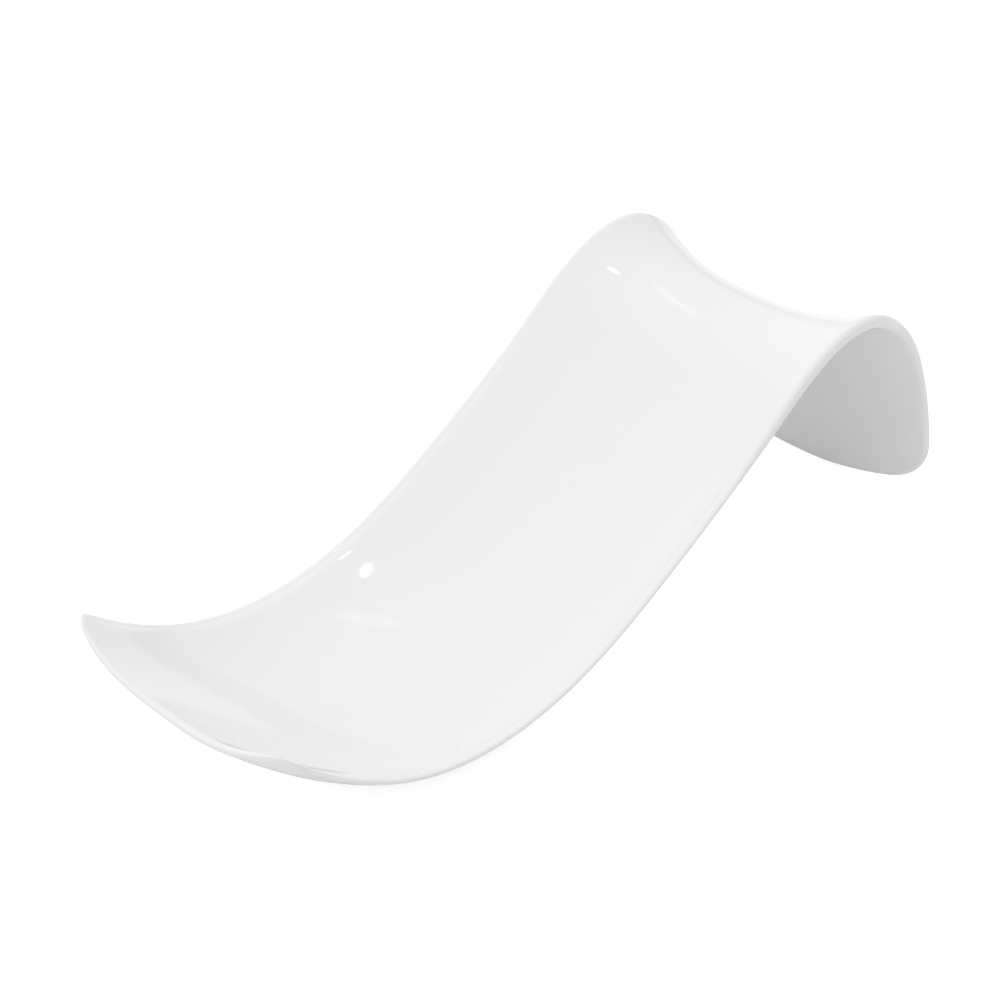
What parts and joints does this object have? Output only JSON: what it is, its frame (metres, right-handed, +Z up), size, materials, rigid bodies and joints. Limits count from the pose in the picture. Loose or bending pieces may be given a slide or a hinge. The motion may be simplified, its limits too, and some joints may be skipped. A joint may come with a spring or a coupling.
{
  "type": "knife rest",
  "caption": "White glazed porcelain knife rest: a leaf with a shallow dish at the lip, a long ramp, a dished crest that carries the blade, and a leg that curls down to the table.",
  "frame": {"origin": "middle of the box that the rest fills, on the table plane", "axes": "+X along the leaf from the lip to the foot, +Y across the leaf, +Z up from the table"},
  "size_m": [0.12, 0.0446, 0.0361],
  "materials": {
    "white_glaze": "clear gloss glaze over white porcelain, ground bare on the two lands"
  },
  "bodies": {
    "root": {"porcelain_body": "white_glaze"}
  },
  "joints": []
}
